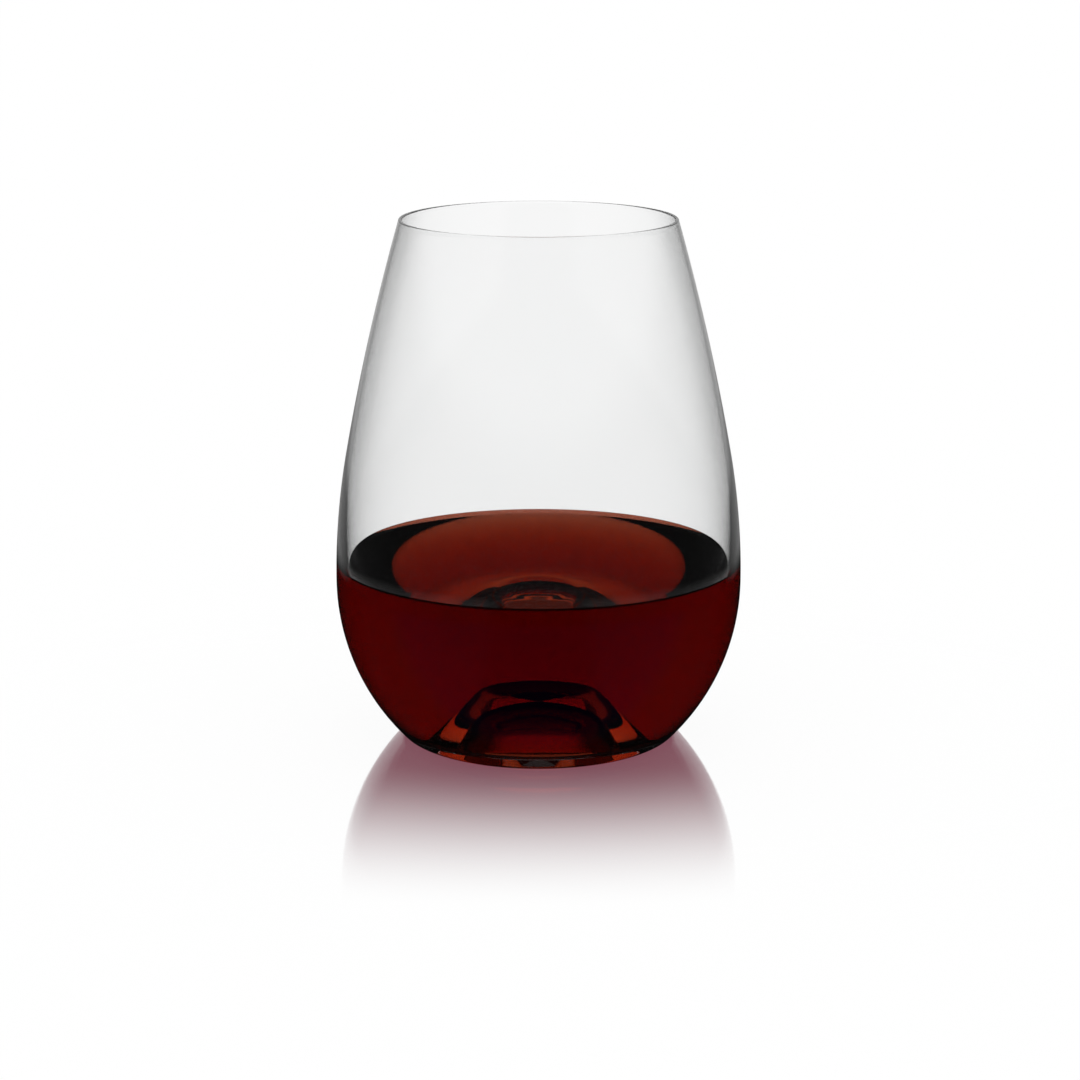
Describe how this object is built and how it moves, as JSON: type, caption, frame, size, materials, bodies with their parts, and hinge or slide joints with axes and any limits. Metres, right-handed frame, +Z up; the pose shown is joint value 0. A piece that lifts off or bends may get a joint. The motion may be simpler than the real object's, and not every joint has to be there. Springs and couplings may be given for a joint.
{
  "type": "stemless wine glass",
  "caption": "Stemless tulip-shaped wine glass of clear blown glass with a punted base, holding a pour of red wine.",
  "frame": {"origin": "centre of the flat resting ring under the base, on the surface the glass stands on", "axes": "+Z up along the axis of revolution, out of the mouth; +X and +Y level, any direction round the axis"},
  "size_m": [0.095, 0.095, 0.122],
  "materials": {
    "clear_glass": "polished",
    "red_wine": "gloss"
  },
  "bodies": {
    "glass": {"glass_bowl": "clear_glass"},
    "wine": {"red_wine": "red_wine"}
  },
  "joints": [
    {"name": "wine_swirl", "type": "hinge", "parent": "glass", "child": "wine", "pos_m": [0, 0, 0], "axis": [0, 0, 1], "continuous": true}
  ]
}
